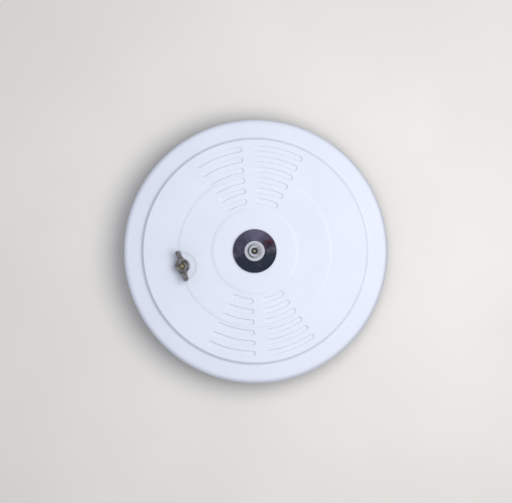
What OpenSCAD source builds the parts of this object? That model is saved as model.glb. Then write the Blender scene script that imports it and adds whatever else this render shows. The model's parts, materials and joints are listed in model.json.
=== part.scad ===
// Spring-wound mechanical heat detector.
// A pressed steel cover, which is also the gong, is clamped on a centre post by a fusible plug and its
// heat collector. Behind it a hand-wound clockwork movement drives a hammer once the plug has melted.
// The frame: origin at the centre of the mounting face, +Z out of the face, +Y up the two groove fans.

/* [Cover] */
// Outer diameter of the cover
cover_d = 211; // [190:1:240]
// Height of the cover from its rim to its face
cover_h = 31; // [27:0.5:40]
// Gap left between the mounting surface and the cover's rim
rim_gap = 6; // [4:0.5:8]
// Thickness of the cover's steel sheet
sheet = 1.2; // [0.9:0.1:1.5]
// Width of the lower band between the cover's edge and the raised face
band_w = 15; // [13:0.5:17]
// Height of the step from the band up to the face
step_h = 4; // [3:0.5:6]
// Radius of the rounded outer edge
edge_r = 4; // [2:0.5:6]
// Height of each of the two shallow steps on the face
ring_h = 0.7; // [0.3:0.1:1]
// Radius of the outer shallow step
mid_ring_r = 60.4; // [56:0.2:64]
// Radius of the inner shallow step
inner_ring_r = 34; // [30:0.5:35]
// Width over which a shallow step rises
ring_blend = 2.4; // [1.5:0.1:3]
// How far the skirt flares out from its top to its rim
skirt_flare = 0.8; // [0:0.1:2]
// Height of the hem folded inside the rim
hem_h = 3; // [2:0.5:5]

/* [Grooves] */
// Number of grooves in each half of a fan
groove_count = 6; // [3:1:6]
// Width of a groove
groove_w = 4.2; // [3:0.1:4.6]
// Depth of a groove
groove_depth = 1.4; // [0.8:0.1:1.6]
// Radius of the innermost groove's middle line
groove_first_r = 40; // [39:0.1:42]
// Distance from one groove to the next
groove_pitch = 8.36; // [8:0.02:8.6]
// Half of the angle that a fan spans
fan_half_angle = 31.2; // [24:0.2:36]
// Half width of a fan's spoke at its inner end
spoke_half_in = 3.6; // [2.5:0.1:5]
// Half width of a fan's spoke at its outer end
spoke_half_out = 4.7; // [3:0.1:6]

/* [Heat collector and fusible plug] */
// Diameter of the chromed heat collector
collector_d = 35.2; // [28:0.2:42]
// Thickness of the heat collector
collector_t = 0.8; // [0.5:0.1:1.5]
// Diameter of the plug's flange
fuse_flange_d = 16; // [13:0.5:20]
// Thickness of the plug's flange
fuse_flange_t = 1.5; // [1:0.1:3]
// Diameter of the cup that holds the fusible alloy
fuse_cup_d = 9; // [8:0.2:11]
// Height of the cup above the flange
fuse_cup_h = 2; // [1.5:0.1:4]
// Diameter of the alloy in the cup
alloy_d = 5.4; // [4:0.1:6]
// Diameter of the pin that the alloy holds
pin_d = 2; // [1.5:0.1:2.6]
// Diameter of the plug's threaded shank
shank_d = 7; // [6:0.1:8]
// How far the pin moves out when the alloy melts
pin_travel = 5; // [3.5:0.5:6]

/* [Winding key] */
// Distance from the cover's centre to the winding arbor
key_r = 59; // [56:0.5:62]
// Angle of the winding arbor round the cover, from +X
key_angle = 188; // [180:1:196]
// Length over the key's two wings
key_span = 25.6; // [22:0.2:32]
// Diameter of the key's hub
key_hub_d = 12.6; // [11:0.2:15]
// Height of the key's hub
key_hub_h = 7.5; // [5:0.5:12]
// Thickness of a wing
key_wing_t = 4; // [3:0.1:5]
// How far the wings rise above the hub
key_wing_rise = 3; // [1:0.5:6]
// Direction in which the wings point at rest
key_wing_angle = 100; // [0:5:180]
// Radius of the flat pad pressed round the key
key_pad_r = 10.4; // [9:0.2:12]
// Diameter of the winding arbor where the key sits
key_stem_d = 5; // [4:0.1:6]

/* [Base plate] */
// Diameter of the base plate
base_d = 184; // [176:1:190]
// Thickness of the base plate
base_t = 1.5; // [1.2:0.1:2]
// Height of the base plate's upturned rim
base_rim_h = 5; // [3:0.5:6]
// Diameter of the circle on which the two keyholes lie
keyhole_pcd = 140; // [136:1:150]
// Diameter of a keyhole's round end
keyhole_head_d = 9.2; // [8:0.1:11]
// Width of a keyhole's narrow slot
keyhole_neck_d = 5.2; // [4.4:0.1:6]
// Angle that a keyhole's narrow slot spans
keyhole_turn = 12; // [10:1:15]

/* [Movement] */
// Height of the rear movement plate above the mounting face
movement_z = 5; // [4:0.5:6]
// Clear height between the movement plates
movement_gap = 22.8; // [22:0.2:24]
// Thickness of each movement plate
plate_t = 1.2; // [1:0.1:1.6]
// Gear module
gear_module = 0.8; // [0.7:0.05:0.85]
// Teeth of the great wheel
great_teeth = 60; // [54:2:60]
// Teeth of the second wheel
second_teeth = 50; // [40:2:50]
// Teeth of both pinions
pinion_teeth = 10; // [10:1:12]
// Teeth of the escape wheel
escape_teeth = 15; // [12:1:18]
// Tip radius of the escape wheel
escape_r = 9; // [7:0.2:10]
// Thickness of the toothed wheels
wheel_t = 1.5; // [1.2:0.1:1.8]
// Distance from the escape arbor to the verge arbor
verge_reach = 17.5; // [16.5:0.25:19]
// Turns of the mainspring
spring_turns = 7; // [4:1:8]
// Height of the mainspring's strip
spring_w = 9.5; // [6:0.5:10]
// Thickness of the mainspring's strip
spring_t = 0.6; // [0.4:0.05:0.8]
// Outer radius of the wound mainspring
spring_r = 21; // [17:0.5:22]

/* [Hammer and release] */
// Length of the hammer arm from the verge arbor to the middle of the head
hammer_l = 60; // [56:0.5:64]
// Diameter of the hammer head
hammer_d = 12; // [9:0.5:14]
// Height of the hammer head
hammer_h = 9; // [6:0.5:11]
// Swing of the hammer from its lock to the gong, in degrees
hammer_swing = 8; // [5:0.5:8]
// Width of the hammer arm and its tail
arm_w = 4; // [3:0.2:5]
// Thickness of the hammer arm
arm_t = 1.5; // [1:0.1:2]
// Radius of the plunger's collar, which the hammer's tail leans on
collar_r = 5; // [4:0.1:5.2]

/* [Hidden] */
$fn = 64;

// Clearances
run_fit = 0.05;      // radial, between a turning shaft and its hole
slide_gap = 0.15;    // radial, between parts that pass each other
end_shake = 0.3;     // along an arbor, between its shoulders and the plates
tooth_thinning = 0.1;

// Heights of the cover's surfaces
z_rim = rim_gap;
z_face = rim_gap + cover_h;
z_mid = z_face + ring_h;
z_top = z_mid + ring_h;
z_band = z_face - step_h;
band_drop = 0.5;
cover_r = cover_d / 2;
step_r = cover_r - band_w;
step_blend = 3.6;

// Heights of the stack on the centre post
post_r = 9;
post_bore_r = collar_r + 0.3;
post_neck_r = 5;
post_foot_r = 14;
post_foot_t = 2;
z_shoulder = z_top - sheet;
washer_t = 0.8;
z_washer = z_top;
z_collector = z_washer + washer_t;
z_flange = z_collector + collector_t;
z_cup = z_flange + fuse_flange_t;
z_cup_top = z_cup + fuse_cup_h;
neck_drop = 0.2;
z_neck = z_top - neck_drop;

// Places of the arbors
module_r = gear_module / 2;
great_r = great_teeth * module_r;
second_r = second_teeth * module_r;
pinion_r = pinion_teeth * module_r;
pressure = 25;
addendum = 0.8 * gear_module;
dedendum = 1.1 * gear_module;
great_to_second = -62;
second_to_escape = -30;
escape_to_verge = -105;
function dir(a) = [cos(a), sin(a)];
A = key_r * dir(key_angle);
B = A + (great_r + pinion_r) * dir(great_to_second);
C = B + (second_r + pinion_r) * dir(second_to_escape);
D = C + verge_reach * dir(escape_to_verge);

// Heights in the movement
z_rear = movement_z;
z_in = z_rear + plate_t;
z_front = z_in + movement_gap;
z_out = z_front + plate_t;
z_spring = z_in + 1.3;
z_great = z_in + 12.8;
z_ratchet = z_great + wheel_t + 0.4;
ratchet_t = 1.6;
z_second = z_front - 4.6;
z_escape = z_in + 3.8;
pallet_gap = 0.7;
z_pallet = z_escape + wheel_t + pallet_gap;
pallet_t = 1.2;
z_arm = z_in + 9.6;

// Arbor sizes
arbor_r = 1.8;
pivot_r = 1.2;
winder_r = 3;
front_pivot_r = key_stem_d / 2;

// Movement frame
pillar_r = 3;
tenon_r = 1.5;
pad_r = 6.5;
P1 = A + 29 * dir(75);
P2 = A + 29 * dir(235);
P3 = [-20, -20];
P4 = D + 19.5 * dir(192);
pillar_places = [P1, P2, P3, P4];
S1 = A + 27 * dir(105);
S2 = B + 19 * dir(255);
S3 = C + 16 * dir(20);
stud_places = [S1, S2, S3];
stud_r = 2;
nut_h = 2.2;

// ---------------------------------------------------------------- shared shapes
function unit(v) = v / norm(v);
function turn(v, a) = [v.x * cos(a) - v.y * sin(a), v.x * sin(a) + v.y * cos(a)];

// A smooth S from (r0, z0) to (r0 + w, z1)
function s_curve(r0, w, z0, z1, steps = 4) =
    [for (i = [0:steps]) [r0 + w * i / steps, z0 + (z1 - z0) * (1 - cos(180 * i / steps)) / 2]];

// A line moved by t to its right, with mitred corners
function offset_line(p, t) = [for (i = [0:len(p) - 1])
    let(a = unit(i == 0 ? p[1] - p[0] : p[i] - p[i - 1]),
        b = unit(i == len(p) - 1 ? p[i] - p[i - 1] : p[i + 1] - p[i]),
        m = unit([a.y + b.y, -a.x - b.x]))
    p[i] + m * t / (m * [a.y, -a.x])];

function reversed(p) = [for (i = [len(p) - 1:-1:0]) p[i]];

module bar(from, to, w) {
    d = to - from;
    translate(from) rotate(atan2(d.y, d.x)) translate([0, -w / 2]) square([norm(d), w]);
}

module hex_nut(across, h, bore_r) {
    difference() {
        cylinder(r = across / sqrt(3), h = h, $fn = 6);
        translate([0, 0, -1]) cylinder(r = bore_r, h = h + 2);
    }
}

module at(place, z = 0) {
    translate([place.x, place.y, z]) children();
}

// ---------------------------------------------------------------- gears
function inv(a) = tan(a) * 180 / PI - a;
function tooth_half(n, r) =
    let(rp = n * module_r, rb = rp * cos(pressure), rr = max(r, rb))
    90 / n - tooth_thinning / rp * 90 / PI + inv(pressure) - inv(acos(rb / rr));
function flank_radii(n) =
    let(rp = n * module_r, rb = rp * cos(pressure), rf = rp - dedendum, ra = rp + addendum)
    rb > rf ? [rf, rb, (rb + ra) / 2, ra] : [rf, rp, ra];
function gear_points(n) =
    let(radii = flank_radii(n), last = len(radii) - 1)
    [for (i = [0:n - 1]) each concat(
        [for (k = [0:last]) radii[k] * dir(i * 360 / n - tooth_half(n, radii[k]))],
        [for (k = [last:-1:0]) radii[k] * dir(i * 360 / n + tooth_half(n, radii[k]))])];

// The window between two spokes, as a flat-sided outline
function window_points(r_in, r_out, spokes, spoke_w, steps = 5) =
    let(h_in = 180 / spokes - asin(spoke_w / 2 / r_in), h_out = 180 / spokes - asin(spoke_w / 2 / r_out))
    concat([for (i = [0:steps]) r_out * dir(-h_out + 2 * h_out * i / steps)],
           [for (i = [0:steps]) r_in * dir(h_in - 2 * h_in * i / steps)]);

module windows(r_in, r_out, spokes, spoke_w, t) {
    for (i = [0:spokes - 1])
        rotate(360 / spokes * (i + 0.5)) translate([0, 0, -1]) linear_extrude(t + 2)
            polygon(window_points(r_in, r_out, spokes, spoke_w));
}

// A wheel with a tooth pointing at angle a, and its flat-sided seat square to the frame
module toothed_wheel(n, seat_r, spokes, a) {
    difference() {
        rotate(a) linear_extrude(wheel_t) polygon(gear_points(n));
        if (spokes > 0)
            rotate(a) windows(seat_r + 2.4, n * module_r - dedendum - 2.4, spokes, 3, wheel_t);
        translate([0, 0, -1]) cylinder(r = seat_r, h = wheel_t + 2, $fn = 12);
    }
}

// A pinion with a gap between two teeth pointing at angle a
module pinion(h, a) {
    difference() {
        rotate(a + 180 / pinion_teeth) linear_extrude(h) polygon(gear_points(pinion_teeth));
        translate([0, 0, -1]) cylinder(r = arbor_r, h = h + 2, $fn = 12);
    }
}

module pivoted_arbor() {
    translate([0, 0, z_in + end_shake]) cylinder(r = arbor_r, h = movement_gap - 2 * end_shake, $fn = 12);
    translate([0, 0, z_rear]) cylinder(r = pivot_r, h = z_out - z_rear + 0.3);
}

// ---------------------------------------------------------------- base
module keyhole() {
    ring_r = keyhole_pcd / 2;
    translate([ring_r, 0, -1]) cylinder(d = keyhole_head_d, h = base_t + 2);
    translate([0, 0, -1]) rotate_extrude(angle = keyhole_turn, $fn = 96)
        translate([ring_r - keyhole_neck_d / 2, 0]) square([keyhole_neck_d, base_t + 2]);
    rotate(keyhole_turn) translate([ring_r, 0, -1]) cylinder(d = keyhole_neck_d - 0.04, h = base_t + 2);
}

bead_r = 48;
bead_w = 5;
bead_h = 0.8;
module base_plate() {
    color("silver") difference() {
        union() {
            cylinder(d = base_d, h = base_t, $fn = 128);
            difference() {
                cylinder(d = base_d, h = base_rim_h, $fn = 128);
                translate([0, 0, -1]) cylinder(d = base_d - 2 * base_t, h = base_rim_h + 2, $fn = 128);
            }
            rotate_extrude($fn = 96) translate([bead_r - bead_w / 2 - bead_h, 0])
                square([bead_w + 2 * bead_h, base_t + bead_h]);
        }
        translate([0, 0, -1]) rotate_extrude($fn = 96) translate([bead_r - bead_w / 2, 0])
            square([bead_w, 1 + bead_h]);
        rotate(90) keyhole();
        rotate(270) keyhole();
        for (p = stud_places) at(p, -1) cylinder(r = stud_r, h = base_t + 2);
        for (p = rivet_places) at(p, -1) cylinder(r = rivet_r, h = base_t + 2);
    }
}

module frame_studs() {
    color("gray") for (p = stud_places) at(p) {
        cylinder(r = stud_r, h = z_in + nut_h + 0.8);
        translate([0, 0, base_t]) cylinder(r = stud_r + 1.5, h = z_rear - base_t);
    }
}

module frame_nuts() {
    color("silver") for (p = stud_places) at(p, z_in) hex_nut(6.5, nut_h, stud_r);
}

// ---------------------------------------------------------------- movement frame
module movement_plate(z, winder_hole_r) {
    difference() {
        translate([0, 0, z]) linear_extrude(plate_t) hull()
            for (p = concat(pillar_places, stud_places, [C, D])) translate(p) circle(r = pad_r, $fn = 32);
        at(A, z - 1) cylinder(r = winder_hole_r, h = plate_t + 2);
        for (p = [B, C, D]) at(p, z - 1) cylinder(r = pivot_r + run_fit, h = plate_t + 2);
        for (p = pillar_places) at(p, z - 1) cylinder(r = tenon_r, h = plate_t + 2);
        children();
    }
}

module rear_movement_plate() {
    color("goldenrod") movement_plate(z_rear, winder_r - 0.8 + run_fit)
        for (p = stud_places) at(p, z_rear - 1) cylinder(r = stud_r, h = plate_t + 2);
}

module front_movement_plate() {
    color("goldenrod") movement_plate(z_front, front_pivot_r + run_fit)
        for (p = stud_places) at(p, z_front - 1) cylinder(r = stud_r + 2.5, h = plate_t + 2);
}

module frame_pillars() {
    color("goldenrod") for (p = pillar_places) at(p) {
        translate([0, 0, z_in]) cylinder(r = pillar_r, h = movement_gap);
        translate([0, 0, z_rear]) cylinder(r = tenon_r, h = z_out + nut_h + 0.5 - z_rear);
    }
}

module pillar_nuts() {
    color("silver") for (p = pillar_places) at(p, z_out) hex_nut(5.5, nut_h, tenon_r);
}

// ---------------------------------------------------------------- centre post
rivet_r = 1.4;
rivet_head_r = 2.2;
rivet_head_h = 1.2;
rivet_circle_r = 11.5;
rivet_places = [for (a = [30, 150, 270]) rivet_circle_r * dir(a)];
z_bore_top = z_shoulder - 6;
tail_angle = atan2(-D.y, -D.x);

module centre_post() {
    color("gray") difference() {
        union() {
            translate([0, 0, base_t]) cylinder(r = post_foot_r, h = post_foot_t);
            translate([0, 0, base_t]) cylinder(r = post_r, h = z_shoulder - base_t);
            translate([0, 0, base_t]) cylinder(r = post_neck_r, h = z_neck - base_t);
        }
        translate([0, 0, base_t + post_foot_t]) cylinder(r = post_bore_r, h = z_bore_top - base_t - post_foot_t);
        translate([0, 0, z_bore_top - 1]) cylinder(d = shank_d, h = z_neck - z_bore_top + 2);
        // window through which the hammer's tail reaches the plunger
        rotate(tail_angle - 90) translate([2, -post_foot_r, z_arm - 2.5])
            cube([post_foot_r, 2 * post_foot_r, arm_t + 5]);
        for (p = rivet_places) at(p, base_t - 1) cylinder(r = rivet_r, h = post_foot_t + 2);
    }
}

module post_rivets() {
    color("silver") for (p = rivet_places) at(p) {
        cylinder(r = rivet_r, h = base_t + post_foot_t);
        translate([0, 0, base_t + post_foot_t]) cylinder(r = rivet_head_r, h = rivet_head_h);
    }
}

// ---------------------------------------------------------------- cover
cover_hole_r = post_neck_r + 0.2;
key_hole_r = front_pivot_r + 1;
edge_steps = 6;
skirt_angle = atan(skirt_flare / (z_band - band_drop - edge_r - z_rim));
cover_line = concat(
    [[cover_hole_r, z_top]],
    s_curve(inner_ring_r - ring_blend / 2, ring_blend, z_top, z_mid),
    s_curve(mid_ring_r - ring_blend / 2, ring_blend, z_mid, z_face),
    s_curve(step_r - step_blend / 2, step_blend, z_face, z_band),
    [for (i = [0:edge_steps])
        let(a = 90 - (90 - skirt_angle) * i / edge_steps)
        [cover_r - skirt_flare - edge_r + edge_r * cos(a), z_band - band_drop - edge_r + edge_r * sin(a)]],
    [[cover_r, z_rim]]);

module cover_shell() {
    inner = offset_line(cover_line, sheet);
    last = len(inner) - 1;
    rim_in = [cover_r - sheet, z_rim];
    hem_top = rim_in + [-skirt_flare * hem_h / cover_h, hem_h];
    hem = [hem_top, hem_top - [sheet, 0], rim_in - [sheet, 0]];
    rotate_extrude($fn = 180) polygon(concat(
        cover_line, reversed(hem), reversed([for (i = [0:last - 1]) inner[i]])));
}

function groove_r(i) = groove_first_r + groove_pitch * i;
function groove_z(i) = groove_r(i) + groove_w / 2 < mid_ring_r + ring_blend / 2 ? z_mid : z_face;
function spoke_half(r) = spoke_half_in + (spoke_half_out - spoke_half_in)
    * (r - groove_first_r) / (groove_pitch * (groove_count - 1));

// One groove of half width hw round radius r, ending at the fan's edge and at its spoke
module groove(r, hw, z, h) {
    cap = groove_w / 2;
    from = asin((spoke_half(r) + cap) / r);
    to = fan_half_angle - cap / r * 180 / PI;
    translate([0, 0, z]) {
        rotate(90 + from) rotate_extrude(angle = to - from, $fn = 96)
            translate([r - hw, 0]) square([2 * hw, h]);
        for (a = [from, to]) rotate(90 + a) translate([r, 0]) cylinder(r = hw - 0.01, h = h, $fn = 32);
    }
}

module groove_set(extra, lower, h) {
    for (fan = [0, 180], side = [0, 1], i = [0:groove_count - 1])
        rotate(fan) mirror([side, 0, 0])
            groove(groove_r(i), groove_w / 2 + extra, groove_z(i) - groove_depth - lower, h);
}

module cover() {
    color([0.9, 0.92, 0.97]) difference() {
        union() {
            difference() {
                cover_shell();
                at(A, z_face) cylinder(r = key_pad_r, h = ring_h + 1);
            }
            at(A, z_face - sheet) cylinder(r = key_pad_r + sheet, h = 0.7 * sheet);
            groove_set(sheet, sheet, groove_depth + sheet / 2);
        }
        groove_set(0, 0, groove_depth + 3);
        at(A, z_face - 2 * sheet) cylinder(r = key_hole_r, h = 4 * sheet);
    }
}

// ---------------------------------------------------------------- heat collector and fusible plug
collector_lip = 0.3;
module insulating_washer() {
    color("saddlebrown") translate([0, 0, z_washer]) difference() {
        cylinder(d = fuse_flange_d, h = washer_t);
        translate([0, 0, -1]) cylinder(d = shank_d + 0.2, h = washer_t + 2);
    }
}

// A shallow dish with a turned-down edge
module heat_collector() {
    r = collector_d / 2;
    flat = fuse_flange_d / 2;
    color("silver") translate([0, 0, z_collector]) rotate_extrude($fn = 128) polygon([
        [shank_d / 2 + 0.1, 0], [flat, 0], [r - 1.5, -collector_lip], [r, -collector_lip - 0.25],
        [r, collector_t - collector_lip - 0.5], [r - 0.6, collector_t - collector_lip - 0.1],
        [flat, collector_t], [shank_d / 2 + 0.1, collector_t]]);
}

module fuse_cup() {
    chamfer = 0.4;
    shank_l = z_flange - z_bore_top - 0.5;
    color("lightgray") difference() {
        translate([0, 0, z_flange]) rotate_extrude() polygon([
            [0, -shank_l], [shank_d / 2, -shank_l], [shank_d / 2, 0], [fuse_flange_d / 2, 0],
            [fuse_flange_d / 2, fuse_flange_t - chamfer], [fuse_flange_d / 2 - chamfer, fuse_flange_t],
            [fuse_cup_d / 2, fuse_flange_t], [fuse_cup_d / 2, fuse_flange_t + fuse_cup_h - chamfer],
            [fuse_cup_d / 2 - chamfer, fuse_flange_t + fuse_cup_h], [0, fuse_flange_t + fuse_cup_h]]);
        translate([0, 0, z_bore_top - 1]) cylinder(d = pin_d + 2 * run_fit, h = z_cup_top - z_bore_top + 2);
        translate([0, 0, z_alloy]) cylinder(d = alloy_d, h = z_cup_top - z_alloy + 1);
    }
}

z_alloy = z_cup - 0.8;
alloy_sink = 1;
module fuse_alloy() {
    color("darkgray") translate([0, 0, z_alloy]) difference() {
        cylinder(d = alloy_d, h = z_cup_top - alloy_sink - z_alloy);
        translate([0, 0, -1]) cylinder(d = pin_d + 2 * run_fit, h = fuse_cup_h + 3);
    }
}

// ---------------------------------------------------------------- release plunger
collar_h = 3.5;
z_collar = z_arm - 0.9;
stem_r = 2.5;
seat_t = 1.5;
z_seat = z_collar - pin_travel - arm_t - 0.5;
z_stem_top = z_bore_top - pin_travel - 0.5;
coil_wire = 0.7;

module release_plunger() {
    color("goldenrod") {
        translate([0, 0, z_seat]) cylinder(r = stem_r, h = z_stem_top - z_seat);
        translate([0, 0, z_collar]) cylinder(r = collar_r, h = collar_h);
        translate([0, 0, z_seat]) cylinder(r = collar_r, h = seat_t);
    }
}

module fuse_pin() {
    color("gold") translate([0, 0, z_stem_top]) cylinder(d = pin_d, h = z_cup_top - 0.3 - z_stem_top);
}

// The compressed coil, as the sleeve that it fills
module plunger_spring() {
    z_foot = base_t + post_foot_t;
    color("dimgray") translate([0, 0, z_foot]) difference() {
        cylinder(r = collar_r - 0.2, h = z_seat - z_foot);
        translate([0, 0, -1]) cylinder(r = collar_r - 0.2 - 2 * coil_wire, h = z_seat - z_foot + 2);
    }
}

// ---------------------------------------------------------------- winding side
collet_r = 4.6;
ratchet_teeth = 12;
ratchet_r = 8;
ratchet_root = 6.6;
square_r = 3.6;
washer_h = 0.8;
z_key = z_face + washer_h + 0.4;
z_key_top = z_key + key_hub_h;

// A spiral strip whose outer end is bent out to the nearest pillar
module mainspring() {
    inner = winder_r + 1.4;
    pitch = (spring_r - inner) / spring_turns;
    per_turn = 24;
    steps = spring_turns * per_turn;
    pillar = P1 - A;
    end_angle = atan2(pillar.y, pillar.x) - 30;
    hook = pillar - pillar_r * unit(pillar);
    side = spring_t / 2 * unit([-pillar.y, pillar.x]);
    function line(i, o) = (inner + pitch * i / per_turn + o) * dir(end_angle + i * 360 / per_turn);
    color("steelblue") at(A, z_spring) linear_extrude(spring_w) polygon(concat(
        [for (i = [0:steps]) line(i, spring_t / 2)], [hook - side, hook + side],
        [for (i = [steps:-1:0]) line(i, -spring_t / 2)]));
}

module great_wheel() {
    color("gold") at(A, z_great) difference() {
        toothed_wheel(great_teeth, collet_r, 0, great_to_second);
        rotate(click_angle) translate([click_pivot_r, 0, -1])
            cylinder(r = click_stud_r, h = wheel_t + 2, $fn = 12);
    }
}

module great_wheel_collet() {
    color("goldenrod") at(A) difference() {
        union() {
            translate([0, 0, z_great - 1]) cylinder(r = collet_r + 1.4, h = 1);
            translate([0, 0, z_great]) cylinder(r = collet_r, h = wheel_t + 0.2, $fn = 12);
        }
        translate([0, 0, z_great - 2]) cylinder(r = winder_r + run_fit, h = wheel_t + 4);
    }
}

click_angle = great_to_second + 36;
click_pivot_r = 15.5;
click_stud_r = 1.4;
click_t = ratchet_t - 0.2;
z_click = z_great + wheel_t + 0.3;
nose_angle = -24;

module click_stud() {
    color("silver") at(A) rotate(click_angle) translate([click_pivot_r, 0]) {
        translate([0, 0, z_great]) cylinder(r = click_stud_r, h = wheel_t, $fn = 12);
        translate([0, 0, z_great + wheel_t]) cylinder(r = click_stud_r, h = click_t + 0.5);
        translate([0, 0, z_click + click_t + 0.2]) cylinder(r = 2.6, h = 0.8);
    }
}

// The pawl: a ring on the stud and a nose that rests in a tooth of the ratchet wheel
module click() {
    nose = (ratchet_root + 0.35) * dir(nose_angle);
    back = (ratchet_r + 1.6) * dir(nose_angle - 12);
    shoulder = (ratchet_r + 2.4) * dir(nose_angle + 6);
    color("slategray") at(A, z_click) rotate(click_angle) difference() {
        union() {
            translate([click_pivot_r, 0]) cylinder(r = 3.2, h = click_t);
            linear_extrude(click_t) polygon([nose, back, [click_pivot_r - 1, -2.8], [click_pivot_r + 1, 2.6],
                [click_pivot_r - 2.2, 2], shoulder, (ratchet_r + 0.5) * dir(nose_angle + 3)]);
        }
        translate([click_pivot_r, 0, -1]) cylinder(r = click_stud_r + run_fit, h = click_t + 2);
    }
}

// A strip bent round the click, staked to the wheel by a round foot
click_spring_r = 19.3;
function spring_point(k) = (click_spring_r - max(0, 2 - k) * 0.2) * dir(8 * k - 12);
module click_spring() {
    z_top_of_wheel = z_great + wheel_t;
    color("steelblue") at(A) rotate(click_angle) {
        translate([0, 0, z_click]) linear_extrude(click_t - 0.3)
            for (k = [0:4]) bar(spring_point(k), spring_point(k + 1), 0.5);
        translate([spring_point(5).x, spring_point(5).y, z_top_of_wheel])
            cylinder(r = 1.1, h = z_click - z_top_of_wheel + click_t - 0.3);
    }
}

module ratchet_wheel() {
    step = 360 / ratchet_teeth;
    color("gray") at(A, z_ratchet) rotate(click_angle + nose_angle) difference() {
        linear_extrude(ratchet_t) polygon([for (i = [0:ratchet_teeth - 1]) each [
            ratchet_root * dir(i * step), ratchet_r * dir(i * step + 4), ratchet_r * dir(i * step + 7)]]);
        translate([0, 0, -1]) cylinder(r = square_r, h = ratchet_t + 2, $fn = 4);
    }
}

module winding_arbor() {
    color("gold") at(A) {
        translate([0, 0, z_rear]) cylinder(r = winder_r - 0.8, h = z_in + end_shake - z_rear);
        translate([0, 0, z_in + end_shake]) cylinder(r = winder_r, h = z_ratchet - z_in - end_shake);
        translate([0, 0, z_ratchet]) rotate(click_angle + nose_angle) cylinder(r = square_r, h = ratchet_t, $fn = 4);
        translate([0, 0, z_ratchet + ratchet_t]) cylinder(r = winder_r + 0.8, h = z_front - end_shake - z_ratchet - ratchet_t);
        translate([0, 0, z_front - end_shake]) cylinder(d = key_stem_d, h = z_key_top - 0.6 - z_front + end_shake);
    }
}

module key_washer() {
    color("silver") at(A, z_key - washer_h) difference() {
        cylinder(r = key_hub_d / 2 - 0.6, h = washer_h);
        translate([0, 0, -1]) cylinder(d = key_stem_d, h = washer_h + 2);
    }
}

// A cast wing key: a tapered hub and two upswept wings
module winding_key() {
    hub = key_hub_d / 2;
    tip = key_span / 2;
    color("dimgray") at(A, z_key) difference() {
        union() {
            cylinder(r1 = hub, r2 = hub - 0.8, h = key_hub_h);
            for (side = [0, 180]) rotate(key_wing_angle + side) translate([0, key_wing_t / 2, 0]) rotate([90, 0, 0])
                linear_extrude(key_wing_t) polygon([
                    [hub - 3.5, 0.8], [hub + 1, 1.6], [tip - 1.6, key_hub_h * 0.55], [tip, key_hub_h * 0.8],
                    [tip, key_hub_h + key_wing_rise - 1.2], [tip - 1, key_hub_h + key_wing_rise],
                    [tip - 3.4, key_hub_h + key_wing_rise], [tip - 4.6, key_hub_h + key_wing_rise - 1.2],
                    [hub - 1.6, key_hub_h - 0.6], [hub - 3.5, key_hub_h - 0.6]]);
        }
        translate([0, 0, -1]) cylinder(d = key_stem_d, h = key_hub_h + 2);
    }
}

// ---------------------------------------------------------------- train
pinion_h = wheel_t + 1.2;
module second_arbor() {
    color("silver") at(B) pivoted_arbor();
}

module second_pinion() {
    color("gold") at(B, z_great - 0.6) pinion(pinion_h, great_to_second + 180);
}

module second_wheel() {
    color("gold") at(B, z_second) toothed_wheel(second_teeth, arbor_r, 4, second_to_escape);
}

module escape_arbor() {
    color("silver") at(C) pivoted_arbor();
}

module escape_pinion() {
    color("gold") at(C, z_second - 0.6) pinion(pinion_h, second_to_escape + 180);
}

module escape_wheel() {
    step = 360 / escape_teeth;
    root = escape_r - 2.6;
    color("gold") at(C, z_escape) difference() {
        rotate(escape_to_verge) linear_extrude(wheel_t) polygon([for (i = [0:escape_teeth - 1]) each [
            root * dir(i * step - step * 0.30), escape_r * dir(i * step), escape_r * dir(i * step + 2),
            root * dir(i * step + step * 0.25)]]);
        translate([0, 0, -1]) cylinder(r = arbor_r, h = wheel_t + 2, $fn = 12);
    }
}

// ---------------------------------------------------------------- verge and hammer
pallet_pin_r = 0.8;
pallet_clear = escape_r + pallet_pin_r + 0.25;
pallet_spread = acos(escape_r / verge_reach);
collet_h = 3;
function about_verge(p, a) = D + turn(p - D, a);
entry_pin = C + pallet_clear * dir(escape_to_verge + pallet_spread);
exit_pin = about_verge(C + pallet_clear * dir(escape_to_verge - pallet_spread), hammer_swing);
strike_r = cover_r - skirt_flare - sheet - hammer_d / 2 - 0.4;
hammer_angle = tail_angle + hammer_swing
    - acos((norm(D) ^ 2 + hammer_l ^ 2 - strike_r ^ 2) / (2 * norm(D) * hammer_l));
tail_lean = asin((collar_r + slide_gap + arm_w / 2) / norm(D));
tail_end = D + (norm(D) * cos(tail_lean) + 3) * dir(tail_angle - tail_lean);
head_place = D + hammer_l * dir(hammer_angle);

module verge_arbor() {
    color("silver") at(D) pivoted_arbor();
}

module verge_collet() {
    color("goldenrod") at(D, z_arm + arm_t) difference() {
        cylinder(r = 4, h = collet_h);
        translate([0, 0, -1]) cylinder(r = arbor_r, h = collet_h + 2, $fn = 12);
    }
}

module pallets() {
    pin_h = wheel_t + pallet_gap;
    color("gray") {
        translate([0, 0, z_pallet]) linear_extrude(pallet_t) difference() {
            union() {
                translate(D) circle(r = 3.6);
                for (p = [entry_pin, exit_pin]) {
                    bar(D, p, 2.6);
                    translate(p) circle(r = 1.5);
                }
            }
            translate(D) circle(r = arbor_r, $fn = 12);
        }
        for (p = [entry_pin, exit_pin]) at(p, z_pallet - pin_h) cylinder(r = pallet_pin_r, h = pin_h);
    }
}

module hammer_arm() {
    color("gray") translate([0, 0, z_arm]) linear_extrude(arm_t) difference() {
        union() {
            bar(D, head_place, arm_w);
            bar(D, tail_end, arm_w);
            translate(D) circle(r = 4.5);
            translate(head_place) circle(r = 3.6);
        }
        translate(D) circle(r = arbor_r, $fn = 12);
        translate(head_place) circle(r = 1.6, $fn = 12);
    }
}

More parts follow.
